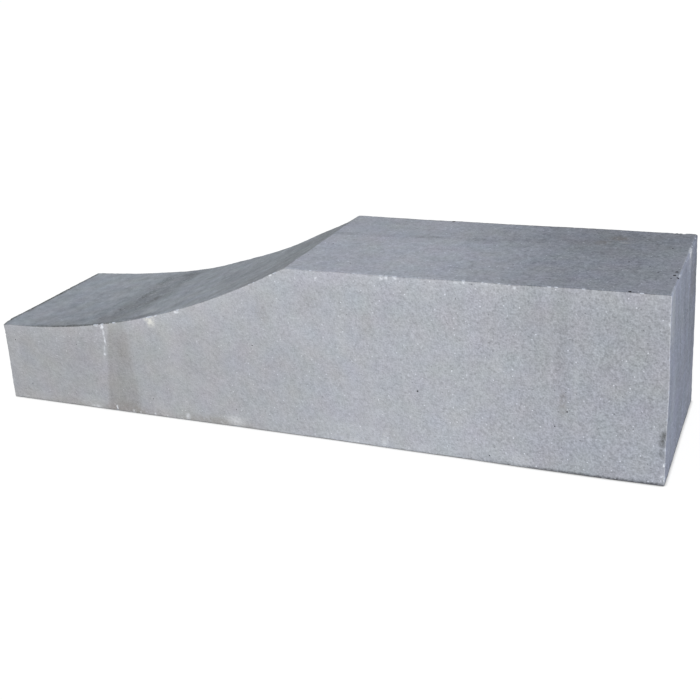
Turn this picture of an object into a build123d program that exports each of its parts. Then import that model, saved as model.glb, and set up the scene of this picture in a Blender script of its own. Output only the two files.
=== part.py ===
# Concrete palisade block, cast in one piece, lying on its long flat side.
#
# The thick half is a plain square prism. From the middle of the block the top
# falls away in one concave arc to a thin end of half the height, which it
# meets level. The same profile runs through the whole width. Every arris is
# slightly rounded, as the mould leaves it.
#
# Frame: millimetres, the origin at the centre of the base, +X along the block
# towards the thick end, +Y across it and +Z up.

import os

from build123d import *

# Overall sizes of the block
block_length = 1000.0
block_width = 250.0
block_height = 250.0

# The scoop cut out of the top at the thin end
thin_end_height = 125.0
sweep_length = 500.0

# Rounding of every arris
arris_radius = 3.0

thin_end_x = -block_length / 2
thick_end_x = block_length / 2
crest_x = thin_end_x + sweep_length

with BuildPart() as palisade_block:
    # The side profile: base, thick end, flat top, arc and thin end
    with BuildSketch(Plane.XZ) as side_profile:
        with BuildLine() as outline:
            base_and_top = Polyline(
                (thin_end_x, thin_end_height),
                (thin_end_x, 0),
                (thick_end_x, 0),
                (thick_end_x, block_height),
                (crest_x, block_height),
            )
            # Level where it leaves the thin end, so the radius follows from
            # the length and the rise of the scoop
            scoop_arc = TangentArc(base_and_top @ 0, base_and_top @ 1, tangent=(1, 0))
        make_face()
    extrude(amount=block_width / 2, both=True)

    fillet(palisade_block.edges(), radius=arris_radius)

palisade_block.part.label = "palisade_block"

os.makedirs("parts", exist_ok=True)
export_step(palisade_block.part, "parts/palisade_block.step")
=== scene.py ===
import math
import random
from types import SimpleNamespace

import bmesh
import bpy
from mathutils import Matrix, Quaternion, Vector


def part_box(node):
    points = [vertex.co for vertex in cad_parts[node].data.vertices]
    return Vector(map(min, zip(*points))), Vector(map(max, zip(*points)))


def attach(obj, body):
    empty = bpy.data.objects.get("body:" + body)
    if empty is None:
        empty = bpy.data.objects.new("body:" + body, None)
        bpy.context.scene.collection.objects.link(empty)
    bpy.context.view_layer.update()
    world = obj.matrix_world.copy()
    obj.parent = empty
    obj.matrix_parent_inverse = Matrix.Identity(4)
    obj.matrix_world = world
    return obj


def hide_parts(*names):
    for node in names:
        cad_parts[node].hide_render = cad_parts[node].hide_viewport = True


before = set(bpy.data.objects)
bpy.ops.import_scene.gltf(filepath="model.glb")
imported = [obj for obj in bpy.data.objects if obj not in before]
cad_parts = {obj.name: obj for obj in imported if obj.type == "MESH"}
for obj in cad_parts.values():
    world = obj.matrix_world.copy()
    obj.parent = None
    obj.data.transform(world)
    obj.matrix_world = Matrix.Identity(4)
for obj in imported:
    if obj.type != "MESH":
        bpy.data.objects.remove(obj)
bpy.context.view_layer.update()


# The camera. It stands beside the thick end and looks down along the front
# of the block, slightly out of level, as the block was photographed.
camera_place = (0.6433, -1.3248, 0.6897)
camera_bearing = math.radians(24.65)
camera_dip = math.radians(20.71)
camera_tilt = math.radians(-4.12)
camera_sensor_mm = 36
camera_lens_mm = 55.27
camera_shift = -0.05

bpy.ops.object.select_all(action="DESELECT")
bpy.ops.object.camera_add(location=camera_place)
camera = bpy.context.object
camera.rotation_mode = "QUATERNION"
camera.rotation_quaternion = (
    Quaternion((0, 0, 1), camera_bearing)
    @ Quaternion((1, 0, 0), math.radians(90) - camera_dip)
    @ Quaternion((0, 0, 1), camera_tilt)
)
camera.data.sensor_width = camera_sensor_mm
camera.data.lens = camera_lens_mm
camera.data.shift_y = camera_shift
bpy.context.scene.camera = camera


# The block. It is one casting of dry, sandy concrete, pressed in a steel
# mould and turned out at once. The thick half is a square prism, and the top
# of the other half falls in one hollow arc to a thin end of half the height.
low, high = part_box("palisade_block")
block_width = high.y - low.y
block_height = high.z - low.z
thin_end_height = block_height / 2
crest_x = (low.x + high.x) / 2
scoop_length = crest_x - low.x
scoop_depth = block_height - thin_end_height
scoop_radius = (scoop_length**2 + scoop_depth**2) / (2 * scoop_depth)

thin_lean = 0.002
thin_foot_lean = 0.0025
back_foot_slack = (0.0018, 0.0065, 0)
crest_shift = 0.0015
crest_skew = 0.004
half_strips = (5, 25)
scoop_strips = math.prod(half_strips)
cross_strips = 50
arris_radius = 0.0016
arris_facets = 3
worn_arris_radius = 0.0034
worn_arris_facets = 6
sharp_corner = math.radians(20)
smooth_corner = math.radians(40)
touching = 0.0001
close_by = 0.002

# The swells of the slack mould, and one corner's wear: which way, where on the
# block, and how far around
end_swell = (0.0011, 0, 0)
end_swell_back = 0.08
end_swell_reach = 0.09
foot_hollow = (0, 0.0012, 0)
foot_hollow_middle = -0.02
foot_hollow_half = 0.06
foot_hollow_reach = 0.20
foot_swell = (0, -0.0014, 0)
foot_swell_middle = 0.37
foot_swell_half = 0.04
foot_swell_reach = 0.10
corner_wear = (-0.0008, 0, -0.0028)
corner_wear_reach = 0.014

# The mould was a little slack: the corners that are out of true, and how far
slack_corners = (
    ((low.x, low.y, high.z), (thin_lean, 0, 0)),
    ((low.x, high.y, high.z), (thin_lean, 0, 0)),
    ((low.x, low.y, low.z), (-thin_foot_lean, 0, 0)),
    ((low.x, high.y, low.z), (-thin_foot_lean, 0, 0)),
    ((high.x, high.y, low.z), back_foot_slack),
)

# How far the front's and the back's top arrises stand above their true line at
# some places along the block: there is a burr where the mould's parts meet
front_burr = (
    (-0.500, 0.0021),
    (-0.480, -0.0006),
    (-0.360, -0.0008),
    (-0.320, -0.0003),
    (-0.250, -0.0003),
    (-0.200, 0.0001),
    (-0.110, 0.0008),
    (-0.020, 0.0010),
    (0.010, -0.0007),
    (0.040, -0.0013),
    (0.080, -0.0006),
    (0.150, -0.0012),
    (0.200, -0.0010),
    (0.240, -0.0003),
    (0.284, -0.0002),
    (0.309, -0.0009),
    (0.330, 0.0001),
    (0.380, 0.0009),
    (0.510, 0.0007),
)
back_burr = (
    (-0.500, -0.0004),
    (-0.440, 0.0009),
    (-0.365, 0.0011),
    (-0.320, -0.0001),
    (-0.260, -0.0008),
    (-0.200, 0.0008),
    (-0.145, 0.0000),
    (-0.115, -0.0002),
    (-0.060, 0.0019),
    (-0.012, 0.0004),
    (0.010, 0.0023),
    (0.080, 0.0011),
    (0.135, 0.0006),
    (0.170, 0.0010),
    (0.210, 0.0004),
    (0.380, 0.0003),
    (0.440, -0.0006),
    (0.510, -0.0004),
)


def crest_at(y):
    """Where the crest is at y. It lies a little out of square."""
    return crest_x + crest_shift + crest_skew * (y - low.y) / block_width


def line_at(line, y):
    """Where a line across the top is at y. They are numbered from the thin end."""
    start = low.x + thin_lean
    if line <= scoop_strips:
        return start + (crest_at(y) - start) * line / scoop_strips
    return crest_at(y) + (high.x - crest_at(y)) * (line - scoop_strips) / scoop_strips


def top_height(x, y):
    """The height of the block's top: the hollow arc up to the crest, then the flat."""
    start = low.x + thin_lean
    run = scoop_length * min(max((x - start) / (crest_at(y) - start), 0), 1)
    return low.z + thin_end_height + scoop_radius - math.sqrt(scoop_radius**2 - run**2)


def burr_at(burr, x):
    """How far an arris stands above its true line at x."""
    for (start, start_rise), (end, end_rise) in zip(burr, burr[1:]):
        if start <= x <= end:
            return start_rise + (end_rise - start_rise) * (x - start) / (end - start)


def pick_corners(wanted):
    """Selects only the corners of the mesh being edited that wanted accepts."""
    bpy.ops.mesh.select_mode(type="VERT")
    bpy.ops.mesh.select_all(action="DESELECT")
    mesh = bmesh.from_edit_mesh(bpy.context.edit_object.data)
    for corner in mesh.verts:
        if wanted(corner.co):
            corner.select_set(True)
    mesh.select_flush(True)
    bmesh.update_edit_mesh(bpy.context.edit_object.data)


def pick_edges(wanted):
    """Selects only the edges of the mesh being edited whose two ends wanted accepts."""
    bpy.ops.mesh.select_mode(type="EDGE")
    bpy.ops.mesh.select_all(action="DESELECT")
    mesh = bmesh.from_edit_mesh(bpy.context.edit_object.data)
    for edge in mesh.edges:
        if wanted(edge.verts[0].co, edge.verts[1].co):
            edge.select_set(True)
    bmesh.update_edit_mesh(bpy.context.edit_object.data)


def divide(wanted, *parts):
    """Divides the wanted edges evenly, first in so many parts, and those again."""
    for count in parts:
        pick_edges(wanted)
        bpy.ops.mesh.subdivide(number_cuts=count - 1)


def swell(wanted, push, reach):
    """Pushes the wanted corners, and those around them less and less up to reach."""
    pick_corners(wanted)
    bpy.ops.transform.translate(
        value=push,
        use_proportional_edit=True,
        proportional_edit_falloff="SMOOTH",
        proportional_size=reach,
    )


def on_front_foot(middle, half):
    """A test for corners on the front's foot within half of the middle."""

    def test(place):
        off_foot = max(place.y - low.y, place.z - low.z)
        return off_foot < close_by and abs(place.x - middle) < half

    return test


def runs_along(axis, least):
    """A test for edges that run along one axis and are longer than least."""

    def test(start, end):
        span = abs(end[axis] - start[axis])
        return span > least and span > 0.99 * (end - start).length

    return test


bpy.ops.object.select_all(action="DESELECT")
bpy.ops.mesh.primitive_cube_add(size=1, location=(low + high) / 2, scale=high - low)
block = bpy.context.object
block.name = "cast_block"
bpy.ops.object.transform_apply(location=True, rotation=True, scale=True)

bpy.ops.object.mode_set(mode="EDIT")
bpy.ops.mesh.bisect(
    plane_co=(crest_at(0), 0, 0),
    plane_no=(block_width, -crest_skew, 0),
)
for corner, slack in slack_corners:
    pick_corners(lambda place: (place - Vector(corner)).length < touching)
    bpy.ops.transform.translate(value=slack)

# Strips across the block, as fine as the hollow arc needs
along_x = runs_along(0, 2 * touching)
divide(
    lambda start, end: along_x(start, end)
    and max(start.x, end.x) < crest_at(start.y) + touching,
    *half_strips,
)
divide(
    lambda start, end: along_x(start, end)
    and min(start.x, end.x) > crest_at(start.y) - touching,
    *half_strips,
)

# Each line across the top goes down to the arc, and its ends up with the burrs
for line in range(2 * scoop_strips + 1):
    for y, burr in ((low.y, front_burr), (high.y, back_burr)):
        x = line_at(line, y)
        pick_corners(
            lambda place: abs(place.x - x) < touching
            and abs(place.y - y) < touching
            and place.z > high.z - touching
        )
        rise = top_height(x, y) + burr_at(burr, x) - high.z
        bpy.ops.transform.translate(value=(0, 0, rise))

# The arrises. The top one of the thick end is worn round, and the others are
# only slightly rounded by the mould.
pick_edges(
    lambda start, end: min(start.x, end.x) > high.x - close_by
    and min(start.z, end.z) > high.z - close_by
)
bpy.ops.mesh.bevel(offset=worn_arris_radius, segments=worn_arris_facets, profile=0.5)
bpy.ops.object.vertex_group_assign_new()
bpy.ops.mesh.select_all(action="DESELECT")
bpy.ops.mesh.edges_select_sharp(sharpness=sharp_corner)
bpy.ops.mesh.bevel(offset=arris_radius, segments=arris_facets, profile=0.5)
bpy.ops.object.vertex_group_assign()

# The faces, divided up and across for the unevenness of the casting
divide(runs_along(1, block_width / 2), cross_strips)
divide(runs_along(2, thin_end_height / 2), cross_strips)

# The thick end is full at half its height, and the front is hollow at the middle of
# its foot and full towards the thick end. The thin end's front top corner is worn down.
swell(
    lambda place: place.x > high.x - close_by
    and place.y < end_swell_back
    and abs(place.z - block_height / 2) < 2 * close_by,
    end_swell,
    end_swell_reach,
)
swell(on_front_foot(foot_hollow_middle, foot_hollow_half), foot_hollow, foot_hollow_reach)
swell(on_front_foot(foot_swell_middle, foot_swell_half), foot_swell, foot_swell_reach)
thin_corner = Vector((low.x + thin_lean, low.y, low.z + thin_end_height + front_burr[0][1]))
swell(
    lambda place: (place - thin_corner).length < 2 * close_by,
    corner_wear,
    corner_wear_reach,
)
bpy.ops.object.mode_set(mode="OBJECT")


def cloud(name, size, depth=2):
    """A soft random relief whose lumps measure about size."""
    relief = bpy.data.textures.new(name, type="CLOUDS")
    relief.noise_scale = size
    relief.noise_depth = depth
    return relief


def roughen(piece, relief, height, middle=0.5, group=""):
    """Pushes the piece's surface in and out along its normals by the relief."""
    bpy.context.view_layer.objects.active = piece
    push = piece.modifiers.new(relief.name, "DISPLACE")
    push.texture = relief
    push.texture_coords = "LOCAL"
    push.strength = height
    push.mid_level = middle
    push.vertex_group = group
    bpy.ops.object.modifier_apply(modifier=push.name)


wave_size = 0.11
wave_height = 0.0008
grit_relief_size = 0.007
grit_height = 0.0005
nibble_size = 0.009
nibble_depth = 0.0008
roughen(block, cloud("mould_waves", wave_size), wave_height)
roughen(block, cloud("pressed_grit", grit_relief_size), grit_height)
arris_group = block.vertex_groups.active.name
nibbles = cloud("nibbled_arrises", nibble_size)
roughen(block, nibbles, nibble_depth, middle=1.0, group=arris_group)
block.vertex_groups.clear()


# The finish. The mould leaves the two long sides sandy and the other faces
# closer and bluer. Rain, rust and lime have run down them in the yard.
def screen(red, green, blue):
    """A colour given as it shows on a screen, each part from 0 to 255."""
    shares = [level / 255 for level in (red, green, blue)]
    return [((share + 0.055) / 1.055) ** 2.4 for share in shares] + [1]


def put(tree, kind, inputs=(), **settings):
    """Adds a node, sets or links its inputs, and gives its outputs."""
    node = tree.nodes.new(kind)
    for name, value in settings.items():
        setattr(node, name, value)
    for socket, value in dict(inputs).items():
        if isinstance(value, bpy.types.NodeSocket):
            tree.links.new(value, node.inputs[socket])
        else:
            node.inputs[socket].default_value = value
    return node.outputs


def maths(tree, operation, *values):
    """One sum on numbers or sockets."""
    return put(tree, "ShaderNodeMath", enumerate(values), operation=operation)[0]


def fade(tree, value, start, end):
    """0 up to start, 1 from end on, and a soft step between them."""
    inputs = {"Value": value, "From Min": start, "From Max": end}
    return put(tree, "ShaderNodeMapRange", inputs, interpolation_type="SMOOTHSTEP")[0]


def between(tree, mask, off, on):
    """Off where the mask is 0, on where it is 1, and evenly between them."""
    return maths(tree, "MULTIPLY_ADD", mask, on - off, off)


def lumps(tree, place, size, stretch=(1, 1, 1), detail=2, seed=0):
    """Soft random lumps of about that size, mostly from -1 to 1."""
    scale = [1 / (size * share) for share in stretch]
    inputs = {"Vector": place, "Location": (seed, seed, seed), "Scale": scale}
    moved = put(tree, "ShaderNodeMapping", inputs)[0]
    raw = put(tree, "ShaderNodeTexNoise", {"Vector": moved, "Scale": 1, "Detail": detail})[0]
    return maths(tree, "MULTIPLY_ADD", raw, 4, -2)


def specks(tree, place, spacing, reach, kept, seed=0):
    """Round grains about spacing apart, of radius reach, and only that share of them."""
    inputs = {"Vector": place, "Location": (seed, seed, seed), "Scale": [1 / spacing] * 3}
    moved = put(tree, "ShaderNodeMapping", inputs)[0]
    cells = put(tree, "ShaderNodeTexVoronoi", {"Vector": moved, "Scale": 1})
    grain = fade(tree, cells["Distance"], reach / spacing, 0.5 * reach / spacing)
    chance = put(tree, "ShaderNodeSeparateColor", {0: cells["Color"]})[0]
    return maths(tree, "MULTIPLY", grain, maths(tree, "LESS_THAN", chance, kept))


def paint(tree, under, over, amount):
    """Lays one colour over another by amount."""
    inputs = {0: amount, 6: under, 7: over}
    return put(tree, "ShaderNodeMix", inputs, data_type="RGBA")[2]


def shade(tree, tone, pattern, share):
    """Lightens or darkens the tone by that share of the pattern."""
    return maths(tree, "MULTIPLY_ADD", pattern, share, tone)


def tinted(tree, colour, mask, *shares):
    """Multiplies the red, the green and the blue by their shares where the mask is."""
    changed = put(tree, "ShaderNodeVectorMath", {0: colour, 1: shares}, operation="MULTIPLY")[0]
    return paint(tree, colour, changed, mask)


def where(tree, *masks):
    """The masks multiplied together."""
    total = masks[0]
    for mask in masks[1:]:
        total = maths(tree, "MULTIPLY", total, mask)
    return total


side_grey = screen(174, 177, 184)
top_grey = screen(172, 177, 188)
end_grey = screen(168, 175, 193)
broken_grey = screen(192, 198, 209)
# The inside of the pores: a dark grey that paints the shade deep in them
pore_shade_grey = screen(58, 58, 62)
stain_colours = {
    "rust": screen(118, 108, 94),
    "damp": screen(84, 86, 84),
    "dust": screen(208, 210, 213),
    "cream": screen(226, 226, 220),
    "lime": screen(232, 236, 243),
}

# The sizes of the patterns in the concrete, how strongly the sand shows, and how
# dull the concrete is
sand_size = 0.0023
sand_contrast = 0.125
grit_size = 0.0045
grit_contrast = 0.10
mottle_size = 0.010
blotch_size = 0.026
cloud_size = 0.085
streak_width = 0.012
broad_streak_width = 0.036
brush_mark_width = 0.009
tint_size = 1 / 34
side_relief = 0.00020
top_relief = 0.00008
cast_roughness = 0.92
concrete_gloss = 0.25

# Single grains: how far apart they lie, their radius and the share that is seen
bright_grains = (0.0050, 0.0012, 0.14)
dark_grains = (0.0046, 0.0010, 0.12)
pale_beads = (0.0062, 0.0015, 0.26)

# The sand inside the chips and the pores
broken_sand_size = 0.0012
broken_sand_contrast = 0.10
broken_relief = 0.00015
broken_roughness = 0.95

# The damp line along the flat top, the sides of the rust run, and how ragged stains are
damp_line_at_crest = 0.0352
damp_line_slope = 0.042
run_left_slope = 0.157
run_right_slope = 0.07
shake_size = 1 / 60
shake_reach = 0.008
rag_size = 0.0035

# The marks: the stain, the face, where its middle is on that face (along and
# up the long sides, along and across the top, across and up the thick end),
# how far it reaches both ways, and its strength
marks = (
    ("rust", "front", -0.283, 0.105, 0.014, 0.024, 0.12),
    ("rust", "front", -0.300, 0.000, 0.200, 0.018, 0.28),
    ("rust", "front", -0.285, 0.006, 0.050, 0.022, 0.26),
    ("rust", "front", -0.130, 0.000, 0.110, 0.018, 0.38),
    ("rust", "front", -0.040, 0.183, 0.013, 0.028, 0.16),
    ("rust", "front", 0.035, 0.205, 0.020, 0.018, 0.14),
    ("rust", "front", 0.115, 0.177, 0.012, 0.026, 0.10),
    ("rust", "front", 0.374, 0.098, 0.008, 0.026, 0.26),
    ("rust", "top", 0.384, 0.061, 0.018, 0.018, 0.28),
    ("rust", "top", 0.404, 0.084, 0.022, 0.016, 0.40),
    ("rust", "top", 0.350, 0.065, 0.050, 0.030, 0.09),
    ("rust", "end", 0.088, 0.195, 0.036, 0.036, 0.35),
    ("rust", "back", 0.210, 0.140, 0.022, 0.120, 0.30),
    ("rust", "back", -0.330, 0.020, 0.090, 0.025, 0.35),
    ("damp", "front", 0.373, 0.190, 0.014, 0.110, 0.15),
    ("damp", "front", 0.340, 0.215, 0.024, 0.080, 0.08),
    ("damp", "front", 0.452, 0.185, 0.022, 0.034, 0.06),
    # A dark blotch by the thick end's front arris: dirt, and painted shade of a shallow hollow
    ("damp", "front", 0.4965, 0.068, 0.0064, 0.014, 0.78),
    ("damp", "front", 0.4960, 0.060, 0.0066, 0.014, 0.82),
    ("damp", "front", 0.4950, 0.046, 0.0055, 0.015, 0.48),
    ("damp", "top", 0.020, 0.036, 0.034, 0.009, 0.22),
    ("damp", "top", 0.094, 0.037, 0.022, 0.009, 0.10),
    ("damp", "top", 0.144, 0.043, 0.048, 0.011, 0.26),
    ("damp", "top", 0.213, 0.044, 0.026, 0.010, 0.30),
    ("damp", "top", 0.255, 0.049, 0.040, 0.010, 0.20),
    # Along the back top arris: damp, and painted shade
    ("damp", "top", 0.250, 0.127, 0.300, 0.009, 0.70),
    ("damp", "top", 0.410, 0.035, 0.110, 0.060, 0.20),
    ("damp", "top", 0.445, 0.045, 0.080, 0.045, 0.16),
    ("damp", "top", 0.250, 0.055, 0.270, 0.050, 0.14),
    ("damp", "top", -0.300, 0.000, 0.060, 0.300, 0.34),
    ("damp", "top", -0.326, 0.075, 0.020, 0.055, 0.52),
    ("damp", "top", -0.316, 0.010, 0.018, 0.055, 0.60),
    ("damp", "top", -0.319, -0.062, 0.018, 0.045, 0.50),
    ("damp", "top", -0.292, 0.100, 0.030, 0.026, 0.58),
    ("damp", "top", -0.283, -0.030, 0.016, 0.050, 0.56),
    ("damp", "top", -0.281, 0.065, 0.018, 0.050, 0.52),
    ("damp", "top", -0.250, -0.115, 0.060, 0.016, 0.45),
    ("damp", "top", -0.150, 0.010, 0.050, 0.060, 0.24),
    ("damp", "top", -0.050, 0.080, 0.120, 0.070, 0.10),
    ("damp", "top", 0.205, 0.100, 0.060, 0.034, 0.16),
    ("damp", "top", 0.410, 0.092, 0.060, 0.030, 0.16),
    # A dark strip along the hollow's front arris near the thin end
    ("damp", "top", -0.360, -0.124, 0.150, 0.010, 0.80),
    # Along the thin end's raised top arris: painted shade
    ("damp", "top", -0.499, 0.000, 0.010, 0.300, 1.30),
    ("damp", "end", 0.125, 0.200, 0.016, 0.090, 0.55),
    ("damp", "back", -0.020, 0.190, 0.016, 0.090, 0.24),
    ("damp", "back", 0.400, 0.000, 0.160, 0.008, 0.60),
    ("dust", "front", 0.015, 0.165, 0.022, 0.030, 0.14),
    ("dust", "front", 0.077, 0.155, 0.012, 0.036, 0.16),
    ("dust", "front", 0.390, 0.120, 0.006, 0.110, 0.14),
    ("dust", "front", -0.195, 0.090, 0.022, 0.110, 0.12),
    ("dust", "front", 0.290, 0.140, 0.014, 0.016, 0.26),
    ("dust", "front", -0.485, 0.075, 0.030, 0.040, 0.10),
    ("dust", "front", -0.350, 0.010, 0.040, 0.014, 0.22),
    ("dust", "front", -0.230, 0.012, 0.030, 0.016, 0.14),
    ("dust", "front", 0.080, 0.018, 0.080, 0.026, 0.20),
    ("dust", "front", 0.084, 0.003, 0.036, 0.014, 0.30),
    ("dust", "front", 0.131, 0.014, 0.010, 0.018, 0.40),
    ("dust", "front", -0.100, 0.009, 0.022, 0.013, 0.75),
    ("dust", "front", 0.319, 0.010, 0.028, 0.014, 0.36),
    ("dust", "top", -0.245, -0.090, 0.022, 0.022, 0.28),
    ("dust", "top", 0.415, 0.066, 0.012, 0.006, 0.34),
    ("dust", "top", 0.300, -0.085, 0.090, 0.060, 0.05),
    ("dust", "end", -0.105, 0.215, 0.026, 0.060, 0.42),
    ("dust", "end", 0.052, 0.236, 0.030, 0.020, 0.30),
    ("dust", "end", 0.095, 0.030, 0.040, 0.070, 0.06),
    ("dust", "back", 0.100, 0.120, 0.060, 0.080, 0.16),
    ("lime", "front", -0.3125, 0.1375, 0.0052, 0.0048, 1.30),
    ("lime", "front", -0.3215, 0.1375, 0.0038, 0.0032, 0.60),
    ("lime", "front", -0.3110, 0.1275, 0.0032, 0.0080, 0.60),
    ("lime", "front", -0.3106, 0.1150, 0.0031, 0.0090, 0.70),
    ("lime", "front", -0.3122, 0.1030, 0.0028, 0.0070, 0.45),
    ("lime", "front", -0.3134, 0.0925, 0.0038, 0.0042, 0.72),
    ("cream", "front", -0.2290, 0.1590, 0.0130, 0.0090, 0.90),
    ("cream", "front", -0.2237, 0.1530, 0.0105, 0.0125, 0.95),
    ("lime", "front", -0.2155, 0.1615, 0.0030, 0.0025, 0.60),
    ("lime", "front", -0.1777, 0.1715, 0.0045, 0.0035, 0.90),
    ("lime", "front", -0.0215, 0.2375, 0.0042, 0.0036, 0.85),
    ("lime", "front", 0.0163, 0.2351, 0.0026, 0.0026, 0.60),
    ("lime", "front", 0.0474, 0.2388, 0.0030, 0.0028, 0.75),
    ("lime", "front", 0.1400, 0.2450, 0.0036, 0.0034, 0.90),
    ("lime", "front", 0.1465, 0.2452, 0.0034, 0.0034, 0.90),
    ("lime", "front", 0.1591, 0.2465, 0.0040, 0.0026, 0.75),
    ("lime", "front", 0.2400, 0.2470, 0.0060, 0.0022, 0.45),
    ("lime", "front", 0.2493, 0.2475, 0.0032, 0.0028, 0.70),
    ("lime", "front", 0.2780, 0.2475, 0.0080, 0.0022, 0.45),
    ("lime", "front", 0.3139, 0.2455, 0.0030, 0.0028, 0.60),
    ("lime", "front", -0.3450, 0.003, 0.0150, 0.007, 0.42),
    ("lime", "front", -0.3060, 0.006, 0.0030, 0.0065, 0.85),
    ("lime", "front", -0.2773, 0.003, 0.0024, 0.0035, 0.60),
    ("lime", "front", -0.2650, 0.003, 0.0020, 0.0030, 0.45),
    ("lime", "front", -0.2377, 0.003, 0.0024, 0.0035, 0.55),
    ("lime", "front", -0.2175, 0.003, 0.0020, 0.0030, 0.45),
    ("lime", "front", -0.1810, 0.007, 0.0055, 0.0085, 0.48),
    ("lime", "front", 0.1310, 0.006, 0.0040, 0.0080, 0.30),
    ("lime", "front", 0.4988, 0.011, 0.0024, 0.0070, 1.40),
    ("lime", "front", 0.4984, 0.030, 0.0020, 0.0040, 1.10),
    ("lime", "front", 0.4990, 0.215, 0.0020, 0.0040, 0.90),
    ("lime", "top", 0.4990, 0.054, 0.0035, 0.0150, 0.60),
    ("lime", "end", 0.0510, 0.2450, 0.0150, 0.0085, 1.50),
    ("lime", "back", -0.180, 0.150, 0.0050, 0.026, 0.60),
    ("lime", "back", 0.060, 0.008, 0.0300, 0.012, 0.40),
    ("lime", "back", 0.330, 0.010, 0.0160, 0.009, 0.40),
)


def on_face(face, first, second):
    """Two measures on a face as x, y and z, with 0 for the way through the block."""
    return {
        "front": (first, 0, second),
        "back": (first, 0, second),
        "top": (first, second, 0),
        "end": (0, first, second),
    }[face]


def stain(tree, place, faces, wanted):
    """The strength of one stain: its soft eggs, each kept to its own face."""
    total = 0
    for name, face, first, second, first_reach, second_reach, strength in marks:
        if name != wanted:
            continue
        scale = on_face(face, 1 / first_reach, 1 / second_reach)
        start = on_face(face, -first / first_reach, -second / second_reach)
        inputs = {0: place, 1: scale, 2: start}
        inside = put(tree, "ShaderNodeVectorMath", inputs, operation="MULTIPLY_ADD")[0]
        away = put(tree, "ShaderNodeVectorMath", {0: inside}, operation="LENGTH")["Value"]
        egg = maths(tree, "MULTIPLY", fade(tree, away, 1, 0.15), strength)
        total = maths(tree, "MAXIMUM", where(tree, egg, faces[face]), total)
    return total


def survey(tree):
    """A point's place and facing, the sand there, and masks for the parts of the block."""
    coordinates = put(tree, "ShaderNodeTexCoord")
    place = coordinates["Object"]
    x, y, z = put(tree, "ShaderNodeSeparateXYZ", {0: place})
    facing = put(tree, "ShaderNodeSeparateXYZ", {0: coordinates["Normal"]})
    across = maths(tree, "ABSOLUTE", facing[1])
    faces = {
        "front": fade(tree, facing[1], -0.55, -0.80),
        "back": fade(tree, facing[1], 0.55, 0.80),
        "top": fade(tree, facing[2], 0.3, 0.6),
        "end": fade(tree, facing[0], 0.4, 0.7),
    }
    from_crest = maths(tree, "MULTIPLY_ADD", y, -crest_skew / block_width, x)
    from_crest = maths(tree, "SUBTRACT", from_crest, crest_at(0))
    hollow = where(tree, faces["top"], fade(tree, from_crest, 0.002, -0.002))
    flat_top = where(tree, faces["top"], fade(tree, from_crest, -0.002, 0.002))
    edgewise = where(tree, maths(tree, "ABSOLUTE", facing[0]), across)
    return SimpleNamespace(
        place=place,
        x=x,
        y=y,
        z=z,
        facing=facing,
        across=across,
        edgewise=edgewise,
        faces=faces,
        front=faces["front"],
        end=faces["end"],
        side=fade(tree, across, 0.62, 0.86),
        hollow=hollow,
        by_crest=where(tree, hollow, fade(tree, x, -0.18, -0.02)),
        flat_top=flat_top,
        thick_end_top=where(tree, flat_top, fade(tree, x, 0.16, 0.38)),
        rubbed=fade(tree, edgewise, 0.12, 0.35),
        sand=lumps(tree, place, sand_size, detail=1),
        grit=lumps(tree, place, grit_size, detail=1, seed=3),
    )


def sandy_tone(tree, spot):
    """How light the clean concrete is: sand, mottling, streaks and single grains."""
    place, side, end, hollow = spot.place, spot.side, spot.end, spot.hollow
    mottle = lumps(tree, place, mottle_size, seed=5)
    blotch = lumps(tree, place, blotch_size, seed=7)
    cloudy = lumps(tree, place, cloud_size, seed=11)
    streaks = lumps(tree, place, streak_width, stretch=(1, 1, 12), seed=15)
    broad_streaks = lumps(tree, place, broad_streak_width, stretch=(1, 1, 5), seed=17)
    brushed = lumps(tree, place, brush_mark_width, stretch=(1, 3, 1), detail=1, seed=19)
    thin_half = fade(tree, spot.x, 0.35, -0.35)

    # The sand shows more towards the thick end, and less on the darker top there
    sandiness = between(tree, fade(tree, spot.x, -0.45, 0.45), 0.57, 1.24)
    sandiness = maths(tree, "MULTIPLY", sandiness, between(tree, spot.thick_end_top, 1.0, 0.82))
    tone = shade(tree, 1.0, where(tree, spot.sand, sandiness), sand_contrast)
    tone = shade(tree, tone, where(tree, spot.grit, sandiness), grit_contrast)

    # The close faces are more mottled than the sandy sides, and the hollow is brushed
    tone = shade(tree, tone, mottle, between(tree, side, 0.080, 0.010))
    tone = shade(tree, tone, where(tree, mottle, side, thin_half), 0.030)
    tone = shade(tree, tone, blotch, between(tree, side, 0.045, 0.015))
    tone = shade(tree, tone, cloudy, 0.016)
    tone = shade(tree, tone, where(tree, brushed, hollow), 0.060)
    tone = shade(tree, tone, where(tree, brushed, hollow, fade(tree, spot.x, -0.32, -0.15)), 0.030)
    tone = shade(tree, tone, where(tree, blotch, hollow), 0.055)

    # Water runs down the thick end and, far less, down the sides
    upright = maths(tree, "MULTIPLY_ADD", end, 0.08, maths(tree, "MULTIPLY", side, 0.018))
    tone = shade(tree, tone, streaks, upright)
    tone = shade(tree, tone, where(tree, broad_streaks, end), 0.12)
    bright = specks(tree, place, *bright_grains, seed=1)
    dark = specks(tree, place, *dark_grains, seed=2)
    tone = shade(tree, tone, where(tree, bright, sandiness), 0.54)
    return shade(tree, tone, where(tree, dark, sandiness), -0.30)


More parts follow.
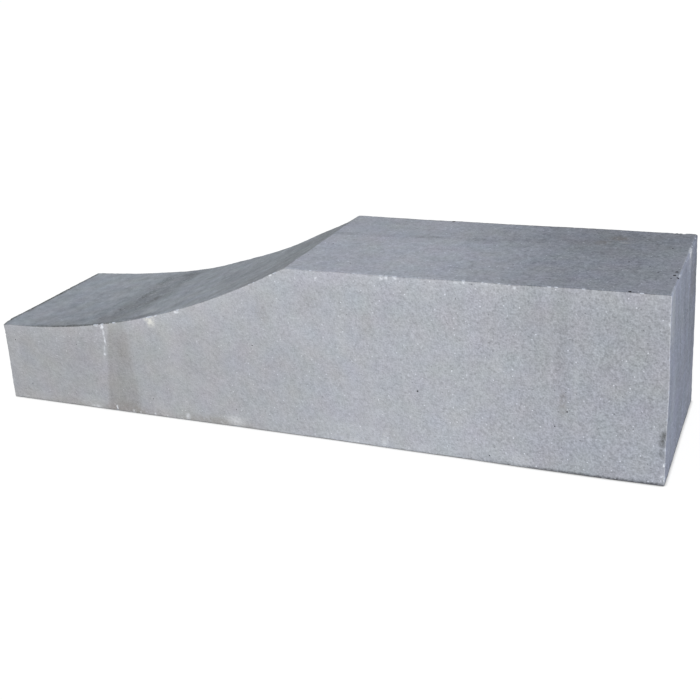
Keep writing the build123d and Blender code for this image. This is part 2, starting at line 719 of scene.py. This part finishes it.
def front_tone(tree, spot, tone):
    """The front: painted shade towards both ends, pale under its top and along its foot,
    which is dirty and has a painted contact shadow towards the thick end."""
    x, z, front = spot.x, spot.z, spot.front

    # How deep a place is below the top: the hollow is part of a round
    hollow_middle = (-low.x - thin_lean, 0, -(low.z + thin_end_height + scoop_radius))
    inputs = {0: spot.place, 1: (1, 0, 1), 2: hollow_middle}
    from_middle = put(tree, "ShaderNodeVectorMath", inputs, operation="MULTIPLY_ADD")[0]
    from_middle = put(tree, "ShaderNodeVectorMath", {0: from_middle}, operation="LENGTH")["Value"]
    below_arc = maths(tree, "SUBTRACT", from_middle, scoop_radius)
    below_top = maths(tree, "MINIMUM", below_arc, maths(tree, "SUBTRACT", high.z, z))

    # Painted shade: the front grows darker towards both ends, where less light falls on it
    tone = shade(tree, tone, where(tree, front, fade(tree, x, -0.10, -0.40)), -0.085)
    tone = shade(tree, tone, where(tree, front, fade(tree, x, 0.22, 0.40)), -0.13)
    tone = shade(tree, tone, where(tree, front, fade(tree, below_top, 0.035, 0.0)), 0.07)
    low_left = where(tree, front, fade(tree, x, 0.14, -0.06), fade(tree, z, 0.17, 0.10))
    tone = shade(tree, tone, low_left, -0.065)
    foot = where(tree, front, fade(tree, z, 0.011, 0.003), fade(tree, x, 0.22, 0.12))
    tone = shade(tree, tone, foot, 0.040)
    # Dark along the foot towards the thick end: partly dirt, partly painted shadow of the gap
    # under the foot
    foot_dirt_and_shadow = where(tree, fade(tree, z, 0.0055, 0.0015), fade(tree, x, 0.20, 0.42))
    foot_dirt_and_shadow = where(tree, foot_dirt_and_shadow, fade(tree, spot.facing[2], -0.97, -0.80))
    return shade(tree, tone, foot_dirt_and_shadow, -0.48)


def top_tone(tree, spot, tone):
    """The top: darker on the thick end's part, at the back, on a long line and in the hollow."""
    x, y, hollow, flat_top = spot.x, spot.y, spot.hollow, spot.flat_top
    tone = shade(tree, tone, spot.thick_end_top, -0.32)
    tone = shade(tree, tone, where(tree, flat_top, fade(tree, y, 0.03, 0.10)), -0.08)
    from_line = maths(tree, "MULTIPLY_ADD", x, -damp_line_slope, y)
    from_line = maths(tree, "ABSOLUTE", maths(tree, "SUBTRACT", from_line, damp_line_at_crest))
    on_line = fade(tree, from_line, 0.011, 0.003)
    damp_line = where(tree, flat_top, on_line, fade(tree, x, 0.32, 0.24))
    tone = shade(tree, tone, damp_line, -0.070)
    tone = shade(tree, tone, hollow, -0.15)
    tone = shade(tree, tone, spot.by_crest, -0.10)
    near_side = where(tree, hollow, fade(tree, y, 0.05, -0.11), fade(tree, x, -0.20, -0.30))
    return shade(tree, tone, where(tree, near_side, fade(tree, x, -0.49, -0.40)), -0.10)


def end_tone(tree, spot, tone):
    """The thick end: it falls off towards the back and towards its foot."""
    y, z, end = spot.y, spot.z, spot.end
    tone = shade(tree, tone, where(tree, end, fade(tree, y, -0.12, 0.02)), -0.14)
    far_side = where(tree, end, fade(tree, y, 0.03, 0.115), fade(tree, z, 0.02, 0.12))
    tone = shade(tree, tone, far_side, -0.08)
    return shade(tree, tone, where(tree, end, fade(tree, z, 0.23, 0.18)), -0.045)


def arris_tone(tree, spot, tone):
    """The arrises: rubbed pale at the corners, painted shade on the rounding of the top ones, and
    pale beads.
    """
    x, facing = spot.x, spot.facing
    tone = shade(tree, tone, spot.rubbed, 0.26)
    worn_top = where(tree, facing[0], facing[2], fade(tree, x, 0.40, 0.45))
    tone = shade(tree, tone, fade(tree, worn_top, 0.06, 0.40), 0.17)
    tone = shade(tree, tone, where(tree, spot.end, fade(tree, spot.z, 0.238, 0.247)), 0.06)
    topwise = where(tree, spot.across, facing[2])
    # Painted shade: the rounding of the top arrises is darkened, against the lamp's highlight on
    # it
    tone = shade(tree, tone, fade(tree, topwise, 0.20, 0.48), -0.22)
    beaded = fade(tree, maths(tree, "MAXIMUM", topwise, spot.edgewise), 0.12, 0.25)
    beaded = where(tree, beaded, fade(tree, x, -0.42, -0.33))
    beads = specks(tree, spot.place, *pale_beads, seed=4)
    return shade(tree, tone, where(tree, beads, beaded), 0.22)


def concrete_colour(tree, spot, tone):
    """The colour: bluer on the end, browner at the thin end, and faintly blotched."""
    x, z, front = spot.x, spot.z, spot.front
    colour = paint(tree, top_grey, side_grey, spot.side)
    colour = paint(tree, colour, end_grey, spot.end)
    colour = paint(tree, colour, side_grey, spot.rubbed)
    inputs = {"Vector": spot.place, "Scale": 1 / tint_size, "Detail": 0}
    tint = put(tree, "ShaderNodeTexNoise", inputs)["Color"]
    inputs = {0: tint, 1: (0.06, 0.04, 0.08), 2: (0.97, 0.98, 0.96)}
    tint = put(tree, "ShaderNodeVectorMath", inputs, operation="MULTIPLY_ADD")[0]
    colour = put(tree, "ShaderNodeVectorMath", {0: colour, 1: tint}, operation="MULTIPLY")[0]
    warm = where(tree, front, fade(tree, x, 0.10, -0.25))
    colour = tinted(tree, colour, warm, 1.014, 1.0, 0.970)
    rusty_foot = where(tree, front, fade(tree, z, 0.024, 0.004), fade(tree, x, 0.04, -0.06))
    colour = tinted(tree, colour, rusty_foot, 1.009, 1.000, 0.984)
    cool = where(tree, front, fade(tree, x, 0.22, 0.45), fade(tree, z, 0.20, 0.03))
    cool = maths(tree, "MAXIMUM", cool, spot.thick_end_top)
    colour = tinted(tree, colour, cool, 1.000, 1.016, 1.036)
    colour = tinted(tree, colour, spot.hollow, 0.992, 1.014, 0.992)
    colour = tinted(tree, colour, spot.by_crest, 1.012, 1.004, 0.978)
    return put(tree, "ShaderNodeVectorMath", {0: colour, 3: tone}, operation="SCALE")[0]


def rust_run(tree, spot, colour):
    """The rust run down the front. It has sharp sides, and the concrete is paler along
    its left one."""
    x, z, front = spot.x, spot.z, spot.front
    left = maths(tree, "MULTIPLY_ADD", z, -run_left_slope, x)
    right = maths(tree, "MULTIPLY_ADD", z, run_right_slope, x)
    run = where(tree, front, fade(tree, left, -0.3265, -0.3185), fade(tree, z, 0.175, 0.125))
    run = where(tree, run, fade(tree, right, -0.2535, -0.2670))
    colour = tinted(tree, colour, run, 0.880, 0.862, 0.838)
    paler = where(tree, front, fade(tree, left, -0.346, -0.337), fade(tree, z, 0.03, 0.06))
    paler = where(tree, paler, fade(tree, left, -0.3195, -0.3255), fade(tree, x, 0, -0.2))
    return tinted(tree, colour, paler, 1.05, 1.04, 1.05)


def stained(tree, spot, colour):
    """Lays the stains over the colour. They are ragged, because they are laid out on a
    shaken place, and the sand shows through them."""
    inputs = {"Vector": spot.place, "Scale": 1 / shake_size, "Detail": 4}
    shake = put(tree, "ShaderNodeTexNoise", inputs)["Color"]
    inputs = {0: shake, 1: (shake_reach,) * 3, 2: (-shake_reach / 2,) * 3}
    shake = put(tree, "ShaderNodeVectorMath", inputs, operation="MULTIPLY_ADD")[0]
    shaken = put(tree, "ShaderNodeVectorMath", {0: spot.place, 1: shake})[0]
    ragged = fade(tree, lumps(tree, spot.place, rag_size, seed=21), -1.3, 0.5)
    for name, stain_colour in stain_colours.items():
        amount = where(tree, stain(tree, shaken, spot.faces, name), ragged)
        amount = maths(tree, "MINIMUM", amount, 1)
        colour = paint(tree, colour, stain_colour, amount)
    return colour


def concrete_shader(name, roughness):
    """A new material, its nodes and its shader, as dull as the concrete."""
    material = bpy.data.materials.new(name)
    material.use_nodes = True
    shader = material.node_tree.nodes["Principled BSDF"]
    shader.inputs["Roughness"].default_value = roughness
    shader.inputs["Specular IOR Level"].default_value = concrete_gloss
    return material, material.node_tree, shader


def raised(tree, shader, height):
    """Gives the shader a relief that is finer than the mesh."""
    bump = put(tree, "ShaderNodeBump", {"Height": height, "Distance": 1, "Strength": 1})
    tree.links.new(bump["Normal"], shader.inputs["Normal"])


def cast_finish():
    """The concrete of the faces, in Object coordinates."""
    material, tree, shader = concrete_shader("cast_concrete", cast_roughness)
    spot = survey(tree)
    tone = sandy_tone(tree, spot)
    for part_tone in (front_tone, top_tone, end_tone, arris_tone):
        tone = part_tone(tree, spot, tone)
    colour = concrete_colour(tree, spot, tone)
    colour = rust_run(tree, spot, colour)
    colour = stained(tree, spot, colour)
    tree.links.new(colour, shader.inputs["Base Color"])
    relief = between(tree, spot.side, top_relief, side_relief)
    raised(tree, shader, where(tree, maths(tree, "ADD", spot.sand, spot.grit), relief))
    return material


def sandy_finish(name, grey):
    """The plain sand inside a chip, or inside a pore, whose dark grey is painted shade."""
    material, tree, shader = concrete_shader(name, broken_roughness)
    place = put(tree, "ShaderNodeTexCoord")["Object"]
    sand = lumps(tree, place, broken_sand_size, detail=1)
    inputs = {0: grey[:3], 3: shade(tree, 1.0, sand, broken_sand_contrast)}
    colour = put(tree, "ShaderNodeVectorMath", inputs, operation="SCALE")[0]
    tree.links.new(colour, shader.inputs["Base Color"])
    raised(tree, shader, maths(tree, "MULTIPLY", sand, broken_relief))
    return material


block.data.materials.append(cast_finish())


# The chips and pores. Handling has knocked small shells out of the arrises,
# down to the paler sand inside, and air has left pinholes in the faces, whose
# dark lining is painted shade.
random.seed(41)
chip_roundness = 4
stone_lump_size = 0.6
stone_lump_height = 0.35
bite_stones = []


def slope(x):
    """The rise of the top for each metre along the block at x."""
    run = max(x - low.x, 0)
    return 0 if x > crest_x else run / math.sqrt(scoop_radius**2 - run**2)


# Each arris gives, for a place along it, the point there, the way out of the
# block, and the way along
arrises = {
    "front_top": lambda x: ((x, low.y, top_height(x, low.y)), (0, -1, 1), (1, 0, slope(x))),
    "back_top": lambda x: ((x, high.y, top_height(x, high.y)), (0, 1, 1), (1, 0, slope(x))),
    "front_foot": lambda x: ((x, low.y, low.z), (0, -1, -1), (1, 0, 0)),
    "back_foot": lambda x: ((x, high.y, low.z), (0, 1, -1), (1, 0, 0)),
    "crest": lambda y: ((crest_at(y), y, high.z), (-0.3, 0, 1), (0, 1, 0)),
    "thick_top": lambda y: ((high.x, y, high.z), (1, 0, 1), (0, 1, 0)),
    "thin_top": lambda y: ((low.x, y, low.z + thin_end_height), (-1, 0, 1), (0, 1, 0)),
    "thick_front": lambda z: ((high.x, low.y, z), (1, -1, 0), (0, 0, 1)),
    "thick_back": lambda z: ((high.x, high.y, z), (1, 1, 0), (0, 0, 1)),
    "thin_front": lambda z: ((low.x, low.y, z), (-1, -1, 0), (0, 0, 1)),
    "thin_back": lambda z: ((low.x, high.y, z), (-1, 1, 0), (0, 0, 1)),
}
arris_ends = {
    "front_top": (low.x, high.x),
    "back_top": (low.x, high.x),
    "front_foot": (low.x, high.x),
    "back_foot": (low.x, high.x),
    "crest": (low.y, high.y),
    "thick_top": (low.y, high.y),
    "thin_top": (low.y, high.y),
    "thick_front": (low.z, high.z),
    "thick_back": (low.z, high.z),
    "thin_front": (low.z, low.z + thin_end_height),
    "thin_back": (low.z, low.z + thin_end_height),
}

# The larger chips: the arris, the place along it, half the length and the bite
larger_chips = (
    ("front_top", -0.3215, 0.0025, 0.0005),
    ("front_top", -0.3125, 0.0035, 0.0009),
    ("front_top", -0.2290, 0.0070, 0.0012),
    ("front_top", -0.2155, 0.0030, 0.0007),
    ("front_top", -0.1777, 0.0035, 0.0012),
    ("front_top", -0.0510, 0.0025, 0.0006),
    ("front_top", -0.0177, 0.0035, 0.0010),
    ("front_top", 0.1400, 0.0030, 0.0006),
    ("front_top", 0.1470, 0.0025, 0.0006),
    ("front_top", 0.1591, 0.0030, 0.0005),
    ("front_top", 0.2493, 0.0025, 0.0006),
    ("front_top", 0.3653, 0.0030, 0.0006),
    ("front_top", 0.3992, 0.0025, 0.0005),
    ("back_foot", -0.1000, 0.0060, 0.0012),
    ("back_top", -0.4960, 0.0070, 0.0020),
    ("front_foot", -0.3060, 0.0025, 0.0012),
    ("front_foot", -0.1810, 0.0025, 0.0008),
    ("front_foot", -0.1010, 0.0080, 0.0008),
    ("front_foot", 0.0730, 0.0090, 0.0008),
    ("front_foot", 0.1310, 0.0035, 0.0012),
    ("front_foot", 0.3190, 0.0090, 0.0006),
    ("thick_front", 0.2150, 0.0030, 0.0009),
    ("thick_front", 0.1700, 0.0030, 0.0008),
    ("thick_front", 0.1280, 0.0025, 0.0006),
    ("thick_front", 0.0910, 0.0030, 0.0008),
    ("thick_front", 0.0520, 0.0030, 0.0010),
    ("thick_front", 0.0300, 0.0025, 0.0012),
    ("thick_front", 0.0110, 0.0050, 0.0014),
    ("thick_top", 0.0530, 0.0070, 0.0007),
    ("thick_top", -0.0520, 0.0060, 0.0008),
    ("thin_front", 0.1080, 0.0040, 0.0010),
    ("thin_top", -0.1120, 0.0050, 0.0012),
)
small_chips = 100
small_chip_lengths = (0.0012, 0.0040)
small_chip_share = 0.22

# The front top arris is whole up to here, and its small chips go to the back's foot
whole_front_end = -0.33

# The larger pores: the middle and the radius
larger_pores = (
    ((0.4939, -0.0403, high.z), 0.0022),
    ((0.4930, -0.0536, high.z), 0.0022),
    ((0.4985, -0.0620, high.z), 0.0020),
    ((0.4905, -0.0660, high.z), 0.0011),
    ((0.4727, -0.0447, high.z), 0.0015),
    ((0.4598, -0.0259, high.z), 0.0010),
    ((0.4736, -0.0710, high.z), 0.0010),
    ((0.4766, 0.0544, high.z), 0.0013),
    ((0.4318, -0.0115, high.z), 0.0011),
    ((0.4516, -0.1221, high.z), 0.0022),
    ((0.1575, high.y - 0.0040, high.z), 0.0027),
    ((0.4700, high.y, high.z), 0.0026),
    ((0.4755, high.y, high.z), 0.0022),
    ((0.4820, high.y, high.z), 0.0026),
    ((0.182, low.y, 0.091), 0.0013),
    ((-0.060, low.y, 0.132), 0.0009),
    ((0.364, low.y, 0.0645), 0.0008),
)
small_pores = 70
small_pore_radii = (0.0005, 0.0010)
well_outside = 0.012

bpy.ops.object.select_all(action="DESELECT")
bpy.ops.mesh.primitive_ico_sphere_add(subdivisions=2, radius=1)
bite_stone = bpy.context.object
roughen(bite_stone, cloud("broken_stone", stone_lump_size), stone_lump_height)
broken = sandy_finish("broken_concrete", broken_grey)
pore_shade = sandy_finish("pore_shade_concrete", pore_shade_grey)


def cut_with(shape, finish):
    """Places a copy of the bite stone, turned at random and given that shape and finish."""
    turn = Quaternion([random.gauss(0, 1) for axis in range(4)]).normalized().to_matrix()
    mesh = bite_stone.data.copy()
    mesh.transform(shape @ turn.to_4x4())
    mesh.materials.append(finish)
    stone = bpy.data.objects.new("bite", mesh)
    bpy.context.scene.collection.objects.link(stone)
    bite_stones.append(stone)


def chip(arris, at, half_length, bite):
    """Knocks a shell out of an arris, as deep as bite and twice half_length long."""
    place, out, along = (Vector(part) for part in arrises[arris](at))
    out.normalize()
    along.normalize()
    round_reach = chip_roundness * bite
    outside = round_reach - bite
    long_reach = half_length / math.sqrt(1 - (outside / round_reach) ** 2)
    columns = (along * long_reach, out.cross(along) * round_reach, out * round_reach)
    turn = Matrix(columns).transposed().to_4x4()
    seat = block.closest_point_on_mesh(place + out * well_outside)[1]
    cut_with(Matrix.Translation(seat + out * outside) @ turn, broken)


def pore(middle, radius):
    """Sinks a pinhole into the surface nearest to middle, lined with painted shade."""
    seat = block.closest_point_on_mesh(middle)[1]
    cut_with(Matrix.Translation(seat) @ Matrix.Scale(radius, 4), pore_shade)


for arris, at, half_length, bite in larger_chips:
    chip(arris, at, half_length, bite)
for middle, radius in larger_pores:
    pore(middle, radius)

arris_names = sorted(arrises)
arris_lengths = [arris_ends[name][1] - arris_ends[name][0] for name in arris_names]
for count in range(small_chips):
    arris = random.choices(arris_names, arris_lengths)[0]
    half_length = random.uniform(*small_chip_lengths)
    at = random.uniform(*arris_ends[arris])
    if arris == "front_top" and at < whole_front_end:
        arris = "back_foot"
    chip(arris, at, half_length, small_chip_share * half_length)

for count in range(small_pores):
    x = random.uniform(low.x, high.x)
    y = random.uniform(low.y, high.y)
    z = random.uniform(low.z, top_height(x, low.y))
    middle = random.choice(
        (
            (x, y, top_height(x, y)),
            (x, y, top_height(x, y)),
            (x, low.y, z),
            (x, high.y, z),
            (high.x, y, random.uniform(low.z, high.z)),
        )
    )
    pore(middle, random.uniform(*small_pore_radii))

bpy.data.objects.remove(bite_stone)
bpy.ops.object.select_all(action="DESELECT")
for stone in bite_stones:
    stone.select_set(True)
bpy.context.view_layer.objects.active = bite_stones[0]
bpy.ops.object.join()
bites = bpy.context.object

bpy.context.view_layer.objects.active = block
knock = block.modifiers.new("bites", "BOOLEAN")
knock.operation = "DIFFERENCE"
knock.solver = "MANIFOLD"
knock.material_mode = "TRANSFER"
knock.object = bites
bpy.ops.object.modifier_apply(modifier=knock.name)
bpy.data.objects.remove(bites)

bpy.ops.object.select_all(action="DESELECT")
block.select_set(True)
bpy.ops.object.shade_smooth_by_angle(angle=smooth_corner)

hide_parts("palisade_block")
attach(block, "root")


# The floor, white and plain, and the studio around it. The lamp stands beside
# the camera, and a white room lights the other sides.
floor_size = 60
floor_white = (0.7, 0.7, 0.7, 1)
seen_floor_glow = 0.8
seen_floor_share = 0.3
# The painted contact shadow on the floor: how near the block it reaches, and how hemmed in the
# floor is where it is darkest and where it ends
contact_shade_reach = 0.008
contact_shade_deepest = 0.25
contact_shade_edge = 0.76
room_light = 0.45
lamp_strength = 1.98
lamp_bearing = math.radians(15)
lamp_rise = math.radians(30)
lamp_spread = math.radians(35)

bpy.ops.object.select_all(action="DESELECT")
bpy.ops.mesh.primitive_plane_add(size=floor_size, location=(0, 0, low.z))
floor = bpy.context.object
floor.name = "studio_floor"

# The camera sees the floor as white paper that keeps the block's shadow. Its glow dims
# where the block hems it in, a painted contact shadow in the gap under the foot.
paper = bpy.data.materials.new("white_paper")
paper.use_nodes = True
paper_tree = paper.node_tree
paper_tree.nodes.clear()
paper_end = paper_tree.nodes.new("ShaderNodeOutputMaterial")
paper_ray = paper_tree.nodes.new("ShaderNodeLightPath")
paper_plain = paper_tree.nodes.new("ShaderNodeBsdfDiffuse")
paper_plain.inputs["Color"].default_value = floor_white
paper_shade = paper_tree.nodes.new("ShaderNodeBsdfDiffuse")
paper_shade.inputs["Color"].default_value = (seen_floor_share,) * 3 + (1,)
paper_contact_shade = paper_tree.nodes.new("ShaderNodeAmbientOcclusion")
paper_contact_shade.inputs["Distance"].default_value = contact_shade_reach
paper_level = paper_tree.nodes.new("ShaderNodeMapRange")
paper_level.inputs["From Min"].default_value = contact_shade_deepest
paper_level.inputs["From Max"].default_value = contact_shade_edge
paper_level.inputs["To Max"].default_value = seen_floor_glow
paper_glow = paper_tree.nodes.new("ShaderNodeEmission")
paper_seen = paper_tree.nodes.new("ShaderNodeAddShader")
paper_choice = paper_tree.nodes.new("ShaderNodeMixShader")
paper_tree.links.new(paper_contact_shade.outputs["AO"], paper_level.inputs["Value"])
paper_tree.links.new(paper_level.outputs["Result"], paper_glow.inputs["Strength"])
paper_tree.links.new(paper_shade.outputs[0], paper_seen.inputs[0])
paper_tree.links.new(paper_glow.outputs[0], paper_seen.inputs[1])
paper_tree.links.new(paper_ray.outputs["Is Camera Ray"], paper_choice.inputs[0])
paper_tree.links.new(paper_plain.outputs[0], paper_choice.inputs[1])
paper_tree.links.new(paper_seen.outputs[0], paper_choice.inputs[2])
paper_tree.links.new(paper_choice.outputs[0], paper_end.inputs["Surface"])
floor.data.materials.append(paper)

bpy.ops.object.light_add(type="SUN")
lamp = bpy.context.object
lamp.name = "studio_lamp"
lamp.data.energy = lamp_strength
lamp.data.angle = lamp_spread
lamp.rotation_euler = (math.radians(90) - lamp_rise, 0, lamp_bearing)

# The camera sees the room as white, and the room lights the block softly
room = bpy.data.worlds.new("white_room")
room.use_nodes = True
room_tree = room.node_tree
room_ray = room_tree.nodes.new("ShaderNodeLightPath")
room_level = room_tree.nodes.new("ShaderNodeMapRange")
room_level.inputs["To Min"].default_value = room_light
room_back = room_tree.nodes["Background"]
room_back.inputs["Color"].default_value = (1, 1, 1, 1)
room_tree.links.new(room_ray.outputs["Is Camera Ray"], room_level.inputs["Value"])
room_tree.links.new(room_level.outputs["Result"], room_back.inputs["Strength"])
bpy.context.scene.world = room

bpy.context.scene.view_settings.view_transform = "Standard"
